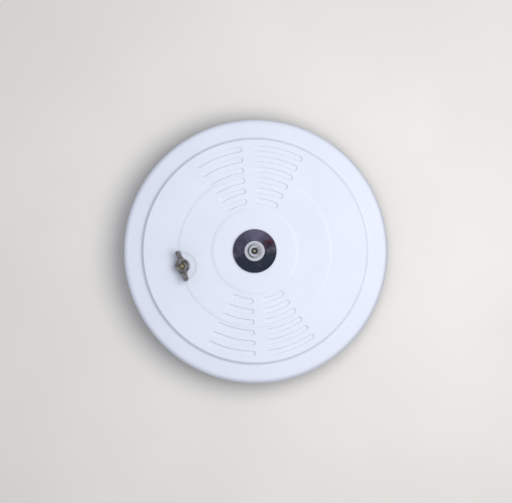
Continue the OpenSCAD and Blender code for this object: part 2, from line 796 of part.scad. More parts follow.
module hammer_head() {
    z0 = z_arm + arm_t / 2 - hammer_h / 2;
    color("goldenrod") difference() {
        at(head_place, z0) cylinder(d = hammer_d, h = hammer_h);
        // slot that the arm is staked into
        difference() {
            at(head_place, z_arm) translate([-hammer_d, -hammer_d, 0]) cube([2 * hammer_d, 2 * hammer_d, arm_t]);
            at(head_place, z_arm - 1) cylinder(r = 1.6, h = arm_t + 2, $fn = 12);
        }
    }
}

base_plate();
frame_studs();
frame_nuts();
rear_movement_plate();
front_movement_plate();
frame_pillars();
pillar_nuts();
centre_post();
post_rivets();
cover();
insulating_washer();
heat_collector();
fuse_cup();
fuse_alloy();
mainspring();
plunger_spring();
great_wheel();
great_wheel_collet();
click_stud();
click_spring();
click();
winding_arbor();
ratchet_wheel();
key_washer();
winding_key();
second_arbor();
second_pinion();
second_wheel();
escape_arbor();
escape_pinion();
escape_wheel();
verge_arbor();
verge_collet();
pallets();
hammer_arm();
hammer_head();
release_plunger();
fuse_pin();
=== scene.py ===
"""Looks of a hand-wound clockwork heat detector, built round its CAD frame. Profiles are in millimetres."""

import json
import math

import bmesh
import bpy
from bpy.props import FloatProperty, FloatVectorProperty, IntProperty, PointerProperty
from mathutils import Matrix, Vector


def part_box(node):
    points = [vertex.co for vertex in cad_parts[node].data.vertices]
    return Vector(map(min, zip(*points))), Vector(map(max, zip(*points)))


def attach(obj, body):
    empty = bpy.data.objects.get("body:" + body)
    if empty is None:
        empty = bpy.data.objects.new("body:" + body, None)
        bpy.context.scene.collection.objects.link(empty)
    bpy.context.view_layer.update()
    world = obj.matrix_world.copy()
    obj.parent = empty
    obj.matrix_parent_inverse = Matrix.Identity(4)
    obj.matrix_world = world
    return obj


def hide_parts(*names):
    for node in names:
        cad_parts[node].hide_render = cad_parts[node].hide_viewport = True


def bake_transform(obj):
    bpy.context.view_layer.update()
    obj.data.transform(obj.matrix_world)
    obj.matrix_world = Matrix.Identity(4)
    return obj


bl_info = {
    "name": "Clockwork Heat Detector",
    "version": (1, 0, 0),
    "blender": (4, 5, 0),
    "location": "View3D > Sidebar > Heat Detector",
    "description": "Models the enamelled bell cover, chromed heat collector, fusible plug and winding key",
    "category": "Add Mesh",
}

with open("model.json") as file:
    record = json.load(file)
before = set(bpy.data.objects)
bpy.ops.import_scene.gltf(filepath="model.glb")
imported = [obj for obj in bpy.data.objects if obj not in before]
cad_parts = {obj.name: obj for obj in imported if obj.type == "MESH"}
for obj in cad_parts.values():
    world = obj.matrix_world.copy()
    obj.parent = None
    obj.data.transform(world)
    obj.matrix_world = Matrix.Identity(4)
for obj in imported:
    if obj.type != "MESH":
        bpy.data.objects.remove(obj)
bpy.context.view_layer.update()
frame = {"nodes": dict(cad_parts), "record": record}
MM = 0.001
TURN = 2 * math.pi


def node_box(name):
    """Lowest and highest corner of a CAD node, in millimetres."""
    low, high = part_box(name)
    return low / MM, high / MM


def node_middle(name):
    low, high = node_box(name)
    return (low + high) / 2


COVER_LOW, COVER_HIGH = node_box("cover")
COLLECTOR_RADIUS = node_box("heat_collector")[1].x
KEY_FOOT = node_box("winding_key")[0].z
WINDER = node_middle("key_washer")
POST_TOP = COVER_HIGH.z
RIM_Z = COVER_LOW.z
WELD_WITHIN = 0.002


# ------------------------------------------------------------------ lines and loops
def polar(radius, angle, centre=(0.0, 0.0)):
    return centre[0] + radius * math.cos(angle), centre[1] + radius * math.sin(angle)


def arc(centre, radius, start, stop, steps):
    """Points (r, z) on an arc of a profile; angles in degrees, both ends included."""
    return [polar(radius, math.radians(start + (stop - start) * i / steps), centre) for i in range(steps + 1)]


def soft_step(r0, r1, z0, z1, steps):
    """Points (r, z) of a pressed step that starts and ends level."""
    return [(r0 + (r1 - r0) * i / steps, z0 + (z1 - z0) * (1 - math.cos(math.pi * i / steps)) / 2)
            for i in range(steps + 1)]


class Draft:
    """A piece being modelled in edit mode from wires that are pulled, spun and filled."""

    def __init__(self, name):
        bpy.ops.object.select_all(action="DESELECT")
        bpy.ops.mesh.primitive_plane_add(size=1)
        self.piece = bpy.context.object
        self.piece.name = self.piece.data.name = name
        bpy.ops.object.mode_set(mode="EDIT")
        bpy.ops.mesh.select_mode(type="VERT")
        bpy.ops.mesh.select_all(action="SELECT")
        bpy.ops.mesh.delete(type="VERT")

    def mesh(self):
        return bmesh.from_edit_mesh(self.piece.data)

    def wire(self, points, closed=True):
        """Lays a wire through the points and leaves it selected."""
        bpy.ops.mesh.select_all(action="DESELECT")
        bpy.ops.mesh.primitive_circle_add(vertices=len(points), radius=1)
        bm = self.mesh()
        laid = [v for v in bm.verts if v.select]
        ring = [laid[0]]
        while len(ring) < len(laid):
            near = [e.other_vert(ring[-1]) for e in ring[-1].link_edges]
            ring.append(next(v for v in near if len(ring) == 1 or v != ring[-2]))
        for vert, point in zip(ring, points):
            vert.co = Vector(point) * MM
        self.keys = [tuple(v.co) for v in ring]
        if not closed:
            self.open_wire()
        bmesh.update_edit_mesh(self.piece.data)

    def open_wire(self):
        """Deletes the edge between the wire's two ends and selects what is left of it."""
        ends = {self.keys[0], self.keys[-1]}
        bpy.ops.mesh.select_all(action="DESELECT")
        bpy.ops.mesh.select_mode(type="EDGE")
        for edge in self.mesh().edges:
            if {tuple(v.co) for v in edge.verts} == ends:
                edge.select_set(True)
        bpy.ops.mesh.delete(type="EDGE")
        bpy.ops.mesh.select_mode(type="VERT")
        kept = set(self.keys)
        for vert in self.mesh().verts:
            vert.select_set(tuple(vert.co) in kept)
        self.mesh().select_flush(True)

    def place(self, points):
        """Moves the selected wire, which still lies on the one before it, to the points."""
        to = {key: Vector(point) * MM for key, point in zip(self.keys, points)}
        moved = {}
        for vert in self.mesh().verts:
            if vert.select:
                key = tuple(vert.co)
                vert.co = to[key]
                moved[key] = tuple(vert.co)
        self.keys = [moved[key] for key in self.keys]
        bmesh.update_edit_mesh(self.piece.data)

    def pull(self, points):
        """Extrudes the selected wire to the next loop, point to point."""
        bpy.ops.mesh.extrude_region_move()
        self.place(points)

    def loft(self, loops, start_cap=False, end_cap=False):
        """Lays the first loop and pulls it through the others."""
        self.wire(loops[0])
        if start_cap:
            self.cap_start(loops[1])
            loops = loops[1:]
        for loop in loops[1:]:
            self.pull(loop)
        if end_cap:
            bpy.ops.mesh.edge_face_add()

    def cap_start(self, second):
        """Fills the first loop and pulls its edges alone to the second, so that the face stays behind."""
        bpy.ops.mesh.edge_face_add()
        bm = self.mesh()
        for face in bm.faces:
            face.select_set(False)
        first = set(self.keys)
        for edge in bm.edges:
            edge.select_set(all(tuple(v.co) in first for v in edge.verts))
        bmesh.update_edit_mesh(self.piece.data)
        bpy.ops.mesh.select_mode(type="EDGE")
        bpy.ops.mesh.extrude_edges_move()
        bpy.ops.mesh.select_mode(type="VERT")
        self.place(second)

    def spin(self, profile, steps, centre=(0.0, 0.0), closed=False):
        """Turns a profile of (r, z) points round the upright line through the centre."""
        self.wire([(centre[0] + r, centre[1], z) for r, z in profile], closed)
        bpy.ops.mesh.spin(steps=steps, angle=TURN, axis=(0, 0, 1), center=(centre[0] * MM, centre[1] * MM, 0))

    def weld(self):
        bpy.ops.mesh.select_all(action="SELECT")
        bpy.ops.mesh.remove_doubles(threshold=WELD_WITHIN * MM)

    def fill(self, z):
        """Closes the sheet between all the open loops that lie at this height."""
        bpy.ops.mesh.select_all(action="DESELECT")
        bpy.ops.mesh.select_mode(type="EDGE")
        for edge in self.mesh().edges:
            if edge.is_boundary and all(abs(v.co.z / MM - z) < WELD_WITHIN for v in edge.verts):
                edge.select_set(True)
        bmesh.update_edit_mesh(self.piece.data)
        bpy.ops.mesh.fill(use_beauty=True)
        bpy.ops.mesh.select_mode(type="VERT")

    def done(self, sharp=40):
        """Welds the piece, turns its faces outwards, checks that it is closed and shades it."""
        self.weld()
        bpy.ops.mesh.normals_make_consistent(inside=False)
        loose = sum(1 for e in self.mesh().edges if not e.is_manifold)
        bpy.ops.object.mode_set(mode="OBJECT")
        if loose:
            raise RuntimeError(f"{self.piece.name} has {loose} open edges")
        shade(self.piece, sharp)
        return self.piece


def only(*pieces):
    """Selects these pieces and makes the first one active."""
    bpy.ops.object.select_all(action="DESELECT")
    for piece in pieces:
        piece.select_set(True)
    bpy.context.view_layer.objects.active = pieces[0]


def shade(piece, sharp):
    only(piece)
    bpy.ops.object.shade_smooth_by_angle(angle=math.radians(sharp))


def modify(piece, kind, **settings):
    """Adds a modifier with its settings and applies it."""
    only(piece)
    bpy.ops.object.modifier_add(type=kind)
    made = piece.modifiers[-1]
    for name, value in settings.items():
        setattr(made, name, value)
    bpy.ops.object.modifier_apply(modifier=made.name)


def settle(piece, body, slot, *nodes):
    """Gives a finished piece its slot's finish and its body, and hides the CAD nodes that it stands for."""
    piece.data.materials.clear()
    piece.data.materials.append(finish(slot))
    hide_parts(*nodes)
    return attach(piece, body)


# ------------------------------------------------------------------ finishes
class Term:
    """A number that a shader socket carries; arithmetic on it adds the Math nodes."""

    def __init__(self, finish, socket):
        self.finish, self.socket = finish, socket

    def maths(self, operation, *values):
        return self.finish.node("ShaderNodeMath", {"operation": operation}, dict(enumerate(values)))

    def __add__(self, other):
        return self.maths("ADD", self, other)

    def __sub__(self, other):
        return self.maths("SUBTRACT", self, other)

    def __rsub__(self, other):
        return self.maths("SUBTRACT", other, self)

    def __mul__(self, other):
        return self.maths("MULTIPLY", self, other)

    def __pow__(self, other):
        return self.maths("POWER", self, other)

    __radd__ = __add__
    __rmul__ = __mul__

    def sine(self):
        return self.maths("SINE", self)

    def between(self, low, high):
        """0 below low, 1 above high, smooth between."""
        return self.finish.node("ShaderNodeMapRange", {"interpolation_type": "SMOOTHSTEP"},
                                {0: self, 1: low, 2: high, 3: 0.0, 4: 1.0})


class Finish:
    """A procedural material on one Principled shader."""

    def __init__(self, name, tree=None):
        if tree is None:
            self.material = bpy.data.materials.new(name)
            self.material.use_nodes = True
            tree = self.material.node_tree
        self.tree = tree
        tree.nodes.clear()

    def node(self, kind, settings=None, inputs=None, output=0):
        """Adds a node, sets it, then feeds its sockets. Ramp stops are given as {place: colour}."""
        made = self.tree.nodes.new(kind)
        for name, value in (settings or {}).items():
            if name == "stops":
                ramp = made.color_ramp
                for i, (place, colour) in enumerate(sorted(value.items())):
                    stop = ramp.elements[i] if i < 2 else ramp.elements.new(place)
                    stop.position, stop.color = place, (*colour, 1.0)
            else:
                setattr(made, name, value)
        for name, value in (inputs or {}).items():
            self.feed(made.inputs[name], value)
        return Term(self, made.outputs[output]) if made.outputs else None

    def feed(self, socket, value):
        if isinstance(value, Term):
            self.tree.links.new(value.socket, socket)
        elif socket.type == "RGBA":
            socket.default_value = (*tuple(value)[:3], 1.0)
        else:
            socket.default_value = value

    def paint(self, **inputs):
        """The Principled shader; names are its sockets with _ for spaces."""
        shader = self.node("ShaderNodeBsdfPrincipled", None,
                           {name.replace("_", " "): value for name, value in inputs.items()})
        self.node("ShaderNodeOutputMaterial", None, {"Surface": shader})
        return self.material

    def at(self, centre=(0, 0, 0), stretch=(1, 1, 1)):
        """The place on the piece in millimetres from a centre, stretched."""
        place = self.node("ShaderNodeTexCoord", output=3)
        place = self.node("ShaderNodeVectorMath", {"operation": "SUBTRACT"}, {0: place, 1: Vector(centre) * MM})
        return self.node("ShaderNodeVectorMath", {"operation": "MULTIPLY"}, {0: place, 1: Vector(stretch) / MM})

    def noise(self, place, size, detail=3.0, rough=0.5):
        """Cloudy variation from 0 to 1 with features of about this size in millimetres."""
        return self.node("ShaderNodeTexNoise", None,
                         {"Vector": place, "Scale": 1.0 / size, "Detail": detail, "Roughness": rough})

    def parts(self, vector):
        """The x, y and z of a vector."""
        outputs = self.node("ShaderNodeSeparateXYZ", None, {0: vector}).socket.node.outputs
        return [Term(self, output) for output in outputs]

    def radius(self, place):
        x, y, _ = self.parts(place)
        return (x * x + y * y) ** 0.5

    def mix(self, factor, a, b):
        return self.node("ShaderNodeMix", {"data_type": "RGBA"}, {0: factor, 6: a, 7: b}, 2)

    def bump(self, height, depth, strength=1.0, over=None):
        """A normal from a height of 0 to 1 that stands this many millimetres high."""
        inputs = {"Strength": strength, "Distance": depth * MM, "Height": height}
        if over:
            inputs["Normal"] = over
        return self.node("ShaderNodeBump", None, inputs)


def scaled(colour, by):
    return tuple(min(1.0, c * by) for c in tuple(colour)[:3])


def enamel(colours):
    """Stoved white enamel: faint orange peel, a little cloudiness, a few dust specks."""
    f = Finish("white_enamel")
    place = f.at()
    cloud = f.noise(place, 38, 3)
    peel = f.noise(place, 1.1, 2)
    speck = f.noise(place, 0.55, 2, 0.7).between(0.70, 0.78)
    tone = f.mix(cloud.between(0.3, 0.7), scaled(colours.enamel, 0.985), scaled(colours.enamel, 1.015))
    tone = f.mix(speck * 0.12, tone, (0.42, 0.42, 0.46))
    rough = 0.40 + 0.10 * (f.noise(place, 9, 4) - 0.5)
    return f.paint(Base_Color=tone, Roughness=rough, IOR=1.5, Coat_Weight=0.15, Coat_Roughness=0.2,
                   Normal=f.bump(peel, 0.012, 0.5, f.bump(f.noise(place, 16, 2), 0.10, 0.35)))


def chrome(colours):
    """Bright chromium plate with wipe marks, fine scratches round the middle and handling haze."""
    f = Finish("bright_chrome")
    place = f.at()
    rings = f.radius(place)
    haze = f.noise(place, 6, 4, 0.6).between(0.45, 0.8)
    wipe = f.noise(f.at(stretch=(1, 14, 1)), 9, 4, 0.65).between(0.52, 0.75)
    scratch = f.noise(f.at(stretch=(10, 0.6, 1)), 1.6, 3, 0.6).between(0.66, 0.72)
    tone = f.mix(haze * 0.35, colours.chrome, scaled(colours.chrome, 0.72))
    rough = 0.07 + 0.10 * haze + 0.08 * wipe + 0.10 * scratch
    ripple = (rings * 5.0 + 2.0 * f.noise(place, 4, 2)).sine()
    swell = f.noise(place, 7.5, 1, 0.4)
    return f.paint(Base_Color=tone, Metallic=1.0, Roughness=rough,
                   Normal=f.bump(swell, 0.10, 0.7, f.bump(ripple, 0.004, 0.35)))


def turned_metal(name, colour, rough, centre=(0, 0, 0), rings=9.0, groove=0.006):
    """Lathe-turned metal: fine rings about the middle, a cloudy tone and tarnish in patches."""
    tarnish, aged = (0.1, 0.08, 0.06), 0.25
    f = Finish(name)
    place = f.at(centre)
    patch = f.noise(place, 2.6, 4, 0.6)
    lines = (f.radius(place) * rings + 3.0 * f.noise(place, 5, 2)).sine()
    tone = f.mix(patch.between(0.50, 0.75) * aged, colour, tarnish)
    tone = f.mix((lines * 0.5 + 0.5) * 0.10, tone, scaled(colour, 0.7))
    return f.paint(Base_Color=tone, Metallic=1.0, Roughness=rough + 0.16 * (patch - 0.4),
                   Normal=f.bump(lines * 0.5 + 0.5, groove, 0.6))


def plug_plate(colours):
    """Satin plate of the plug: turned rings, painted shade in the groove round the cup's foot, darkest on the left,
    and painted reflection flecks on the right of the cup's top.
    """
    f = Finish("plated_cup")
    place = f.at()
    far = f.radius(place) + 0.5 * (f.noise(place, 1.2, 4) - 0.5)
    lines = (f.radius(place) * 16.0 + 3.0 * f.noise(place, 5, 2)).sine()
    across = f.parts(place)[0]
    # Painted shade: the groove round the cup's foot is darkened, fully on the left side and less on the right.
    left_shade = 1.0 - across.between(-2.6, 2.4) * 0.65
    crevice_shade = far.between(4.25, 4.75) * (1.0 - far.between(5.1, 5.8)) * left_shade
    patch = f.noise(place, 1.1, 4, 0.65).between(0.52, 0.68)
    tone = f.mix(crevice_shade * 0.95, colours.nickel, (0.040, 0.042, 0.030))
    tone = f.mix(patch * 0.30, tone, (0.30, 0.28, 0.24))
    # Painted reflection: dark brown flecks on the right half of the cup's top.
    flecks = f.noise(place, 0.7, 4, 0.7).between(0.42, 0.60)
    brown = across.between(0.6, 2.6) * (1.0 - far.between(4.6, 5.4)) * flecks
    tone = f.mix(brown * 0.9, tone, (0.13, 0.10, 0.06))
    return f.paint(Base_Color=tone, Metallic=0.76, Roughness=0.28 + 0.18 * crevice_shade + 0.10 * patch,
                   Normal=f.bump(lines * 0.5 + 0.5, 0.010, 0.5, f.bump(patch, 0.03, 0.5)))


def peened_tip(colours):
    """End of the winding arbor, riveted over: bright brass in the middle, darker towards its edge."""
    f = Finish("winder_tip")
    place = f.at(WINDER)
    dents = f.noise(place, 0.9, 3, 0.6)
    far = f.radius(place) + 1.4 * (dents - 0.5)
    tone = f.mix(far.between(0.8, 1.7), (0.78, 0.66, 0.44), (0.11, 0.10, 0.085))
    return f.paint(Base_Color=tone, Metallic=1.0, Roughness=0.34 + 0.2 * (dents - 0.5),
                   Normal=f.bump(dents, 0.12, 0.7))


def drawn_metal(name, colour, rough, grain=(1, 18, 1), size=3.0, spots=0.2, tarnish=(0.12, 0.09, 0.05)):
    """Rolled or drawn stock: grain one way, patches of tarnish and a few pits."""
    f = Finish(name)
    place = f.at()
    along = f.noise(f.at(stretch=grain), size, 4, 0.6)
    patch = f.noise(place, 7, 4, 0.6)
    pits = f.noise(place, 0.5, 2, 0.6).between(0.68, 0.75)
    tone = f.mix(patch.between(0.45, 0.75) * spots, colour, tarnish)
    tone = f.mix(along.between(0.35, 0.65) * 0.18, tone, scaled(colour, 0.75))
    return f.paint(Base_Color=tone, Metallic=1.0, Roughness=rough + 0.14 * (along - 0.5) + 0.1 * patch,
                   Normal=f.bump(along - pits * 0.8, 0.012, 0.5))


def zinc_plate(colours):
    """Zinc-plated sheet: bluish, with a pale spangle and faint yellow passivation."""
    f = Finish("plated_steel")
    place = f.at()
    spangle = f.node("ShaderNodeTexVoronoi", {"feature": "F1"}, {"Vector": place, "Scale": 0.16}, 1)
    shade_of = f.node("ShaderNodeSeparateColor", None, {0: spangle})
    wash = f.noise(place, 30, 4, 0.55)
    tone = f.mix(shade_of * 0.35, colours.zinc, scaled(colours.zinc, 0.75))
    tone = f.mix(wash.between(0.45, 0.7) * 0.3, tone, (0.50, 0.45, 0.30))
    scuff = f.noise(f.at(stretch=(1, 9, 1)), 5, 4, 0.65).between(0.6, 0.75)
    return f.paint(Base_Color=tone, Metallic=1.0, Roughness=0.34 + 0.14 * wash + 0.12 * scuff,
                   Normal=f.bump(f.noise(place, 1.4, 3) + scuff * 0.4, 0.02, 0.4))


def die_casting(colours):
    """Die-cast wing key: skin darkened by handling, metal shining through on the high places, and patches of
    painted violet reflection.
    """
    f = Finish("key_casting")
    place = f.at(WINDER)
    grit = f.noise(place, 0.42, 4, 0.6)
    patch = f.noise(place, 2.8, 3, 0.5)
    edge = f.node("ShaderNodeNewGeometry", output=7).between(0.49, 0.56)
    tone = f.mix(patch.between(0.40, 0.62), scaled(colours.key, 0.40), colours.key)
    tone = f.mix(edge * patch.between(0.35, 0.6), tone, scaled(colours.key, 1.6))
    # Painted reflection: violet-grey patches mixed into the skin stand for the violet ceiling mirrored in the
    # metal.
    violet = f.noise(place, 3.4, 2).between(0.48, 0.62)
    tone = f.mix(violet * 0.5, tone, (0.42, 0.41, 0.52))
    return f.paint(Base_Color=tone, Metallic=0.92, Roughness=0.24 + 0.30 * (patch - 0.3),
                   Normal=f.bump(grit, 0.008, 0.4, f.bump(patch, 0.06, 0.4)))


def soft_alloy():
    """Low-melting alloy set in its cup: grey and dull, darkened as painted shade in the cup's recess, with frosty
    crystals.
    """
    f = Finish("fusible_alloy")
    place = f.at()
    crystal = f.node("ShaderNodeTexVoronoi", {"feature": "DISTANCE_TO_EDGE"}, {"Vector": place, "Scale": 1.8})
    patch = f.noise(place, 0.9, 4, 0.6)
    # Painted shade: both greys are darkened to stand for the shade in the cup's recess.
    tone = f.mix(patch.between(0.35, 0.65), (0.045, 0.045, 0.050), (0.16, 0.155, 0.15))
    return f.paint(Base_Color=tone, Metallic=0.9, Roughness=0.42 + 0.2 * (patch - 0.5),
                   Normal=f.bump(crystal.between(0.0, 0.12) + patch * 0.6, 0.05, 0.8))


def vulcanised_fibre():
    """Red-brown fibre sheet: short matted threads and a waxy surface."""
    f = Finish("fibre")
    threads = f.noise(f.at(stretch=(1, 5, 5)), 1.3, 4, 0.6)
    cross = f.noise(f.at(stretch=(5, 1, 5)), 1.3, 4, 0.6)
    tone = f.mix(threads.between(0.35, 0.65), (0.16, 0.045, 0.028), (0.26, 0.085, 0.05))
    tone = f.mix(cross.between(0.5, 0.7) * 0.4, tone, (0.34, 0.14, 0.09))
    return f.paint(Base_Color=tone, Roughness=0.55 + 0.15 * (cross - 0.5),
                   Normal=f.bump(threads + cross, 0.03, 0.6))


def blued_spring(name):
    """Spring steel drawn to a blue temper, with straw where it cooled faster."""
    f = Finish(name)
    place = f.at()
    heat = f.noise(place, 8, 2)
    grain = f.noise(f.at(stretch=(1, 1, 14)), 2.2, 4, 0.6)
    tone = f.node("ShaderNodeValToRGB", {"stops": {0.25: (0.05, 0.07, 0.16), 0.55: (0.08, 0.12, 0.30),
                                                   0.75: (0.16, 0.11, 0.19), 0.9: (0.34, 0.22, 0.08)}}, {0: heat})
    return f.paint(Base_Color=tone, Metallic=1.0, Roughness=0.28 + 0.14 * (grain - 0.5),
                   Normal=f.bump(grain, 0.006, 0.5))


FINISHES_MADE = {}


def finish(name):
    """The finish of one of the record's material slots, made once."""
    colours = bpy.context.scene.detector_colours
    brass = colours.brass
    makers = {
        "white_enamel": lambda: enamel(colours),
        "bright_chrome": lambda: chrome(colours),
        "plated_cup": lambda: plug_plate(colours),
        "fusible_alloy": soft_alloy,
        "pin_brass": lambda: turned_metal("pin_brass", (0.86, 0.79, 0.58), 0.34, rings=22, groove=0.004),
        "key_casting": lambda: die_casting(colours),
        "fibre": vulcanised_fibre,
        "plated_steel": lambda: zinc_plate(colours),
        "stud_steel": lambda: turned_metal("stud_steel", (0.42, 0.41, 0.40), 0.34, rings=6),
        "nut_steel": lambda: drawn_metal("nut_steel", (0.55, 0.55, 0.57), 0.30, (3, 3, 1), 1.2),
        "movement_brass": lambda: drawn_metal("movement_brass", brass, 0.30, (1, 16, 1), 4),
        "turned_brass": lambda: turned_metal("turned_brass", scaled(brass, 1.05), 0.22, WINDER, 12),
        "post_steel": lambda: turned_metal("post_steel", (0.40, 0.40, 0.41), 0.32, rings=7),
        "spring_steel": lambda: blued_spring("spring_steel"),
        "wheel_brass": lambda: turned_metal("wheel_brass", scaled(brass, 1.1), 0.25, WINDER, 7, 0.01),
        "pinion_brass": lambda: drawn_metal("pinion_brass", brass, 0.26, (9, 9, 1), 2),
        "arbor_steel": lambda: drawn_metal("arbor_steel", (0.52, 0.51, 0.50), 0.22, (1, 1, 12), 1.6, 0.1),
        "hard_steel": lambda: drawn_metal("hard_steel", (0.26, 0.26, 0.28), 0.30, (1, 10, 1), 1.8, 0.3),
        "arm_steel": lambda: drawn_metal("arm_steel", (0.44, 0.43, 0.42), 0.33, (1, 12, 1), 3),
        "hammer_brass": lambda: turned_metal("hammer_brass", brass, 0.28, node_middle("hammer_head"), 8, 0.01),
        "winder_tip": lambda: peened_tip(colours),
    }
    if name not in FINISHES_MADE:
        FINISHES_MADE[name] = makers[name]()
    return FINISHES_MADE[name]


# ------------------------------------------------------------------ sizes and colours
def length(name, description, millimetres):
    return FloatProperty(name=name, description=description, default=millimetres * MM, unit="LENGTH", precision=5)


def colour(name, description, value):
    return FloatVectorProperty(name=name, description=description, default=value, subtype="COLOR", size=3,
                               min=0.0, max=1.0)


class CoverSizes(bpy.types.PropertyGroup):
    """Sizes of the pressed bell cover."""

    radius: length("Radius", "Outer radius of the cover at its rim", COVER_HIGH.x)
    sheet: length("Sheet", "Thickness of the pressed sheet", 1.2)
    ring_step: length("Ring Step", "Height of each shallow step on the face", 0.7)
    step_height: length("Step Height", "Drop from the face to the outer band", 4.0)
    mid_ring: length("Middle Ring", "Radius of the outer shallow step", 60.4)
    inner_ring: length("Inner Ring", "Radius of the inner shallow step", 34.0)
    groove_width: length("Groove Width", "Width of a pressed groove", 4.2)
    groove_depth: length("Groove Depth", "Depth of a pressed groove", 1.4)
    first_groove: length("First Groove", "Radius of the innermost groove's middle line", 40.0)
    groove_pitch: length("Groove Pitch", "Distance from one groove to the next", 8.36)
    grooves: IntProperty(name="Grooves", description="Grooves in each half of a fan", default=6, min=3, max=6)
    fan_half: FloatProperty(name="Fan Half Angle", description="Half of the angle that a fan spans",
                            default=math.radians(31.2), subtype="ANGLE", unit="ROTATION")
    spoke_in: length("Spoke Inside", "Half width of the fan's spoke at its inner end", 3.6)
    spoke_out: length("Spoke Outside", "Half width of the fan's spoke at its outer end", 4.7)
    pad: length("Key Pad", "Radius of the low pad round the winding key", 10.4)


class PlugSizes(bpy.types.PropertyGroup):
    """Sizes of the heat collector and the fusible plug."""

    collector: length("Collector Radius", "Radius of the chromed heat collector", COLLECTOR_RADIUS)
    flange: length("Flange Radius", "Radius of the plug's flange", 8.0)
    cup: length("Cup Radius", "Radius of the cup round the alloy", 4.5)
    alloy: length("Alloy Radius", "Radius of the fusible alloy", 2.7)
    pin: length("Pin Radius", "Radius of the pin that the alloy holds", 1.0)


class KeySizes(bpy.types.PropertyGroup):
    """Sizes of the winding key."""

    hub: length("Hub Radius", "Radius of the key's hub at its foot", 6.3)
    reach: length("Wing Reach", "Distance from the hub's middle to a wing's tip", 12.8)
    wing: length("Wing Thickness", "Thickness of a wing", 4.0)
    turned: FloatProperty(name="Wing Direction", description="Direction in which the wings point",
                          default=math.radians(102.5), subtype="ANGLE", unit="ROTATION")


class Colours(bpy.types.PropertyGroup):
    """Base colours of the finishes."""

    enamel: colour("Enamel", "Stoved enamel of the cover", (0.735, 0.775, 0.865))
    chrome: colour("Chrome", "Plate of the heat collector", (0.74, 0.75, 0.79))
    nickel: colour("Nickel", "Plate of the fusible plug's cup", (0.87, 0.90, 0.95))
    brass: colour("Brass", "Brass of the movement and the pin", (0.70, 0.50, 0.22))
    zinc: colour("Zinc", "Plate of the base", (0.60, 0.62, 0.66))
    key: colour("Key Metal", "Skin of the winding key", (0.37, 0.355, 0.335))
    floor: colour("Floor", "Plain floor of the stage", (0.80, 0.78, 0.73))


# ------------------------------------------------------------------ the cover
def zone_outline(ring, bite, fillet, out):
    """The middle zone's outline moved out: a circle with a rounded bite round the key's pad."""
    far = math.hypot(WINDER.x, WINDER.y)
    toward = math.atan2(WINDER.y, WINDER.x)
    from_middle, from_pad = ring - fillet, bite + fillet
    swing = math.acos((from_middle ** 2 + far ** 2 - from_pad ** 2) / (2 * from_middle * far))
    corners = [polar(from_middle, toward + side * swing) for side in (1, -1)]
    aim = [math.atan2(WINDER.y - y, WINDER.x - x) for x, y in corners]
    points = []

    def add(centre, radius, start, stop, steps):
        points.extend(polar(radius, start + (stop - start) * i / steps, centre) for i in range(steps))

    add((0, 0), ring + out, toward + swing, toward + TURN - swing, 170)
    turn_in = (aim[1] - (toward - swing)) % TURN
    add(corners[1], fillet + out, toward - swing, toward - swing + turn_in, 10)
    start, stop = aim[1] + math.pi, aim[0] + math.pi
    sweep = (start - stop) % TURN
    add((WINDER.x, WINDER.y), bite - out, start, start - sweep, 30)
    turn_out = (toward + swing - aim[0]) % TURN
    add(corners[0], fillet + out, aim[0], aim[0] + turn_out, 10)
    return points


def groove_outline(radius, start, stop, out):
    """An arc at this radius between two angles from +Y, widened by out, with round ends."""
    steps, round_steps = max(6, round((stop - start) * radius / 1.7)), 12
    up = math.pi / 2
    points = []
    for side, first, last, turned in ((out, start, stop, 0.0), (-out, stop, start, math.pi)):
        points += [polar(radius + side, up - (first + (last - first) * i / steps)) for i in range(steps + 1)]
        points += [polar(out, up - last - turned - math.pi * i / round_steps, polar(radius, up - last))
                   for i in range(1, round_steps)]
    return points


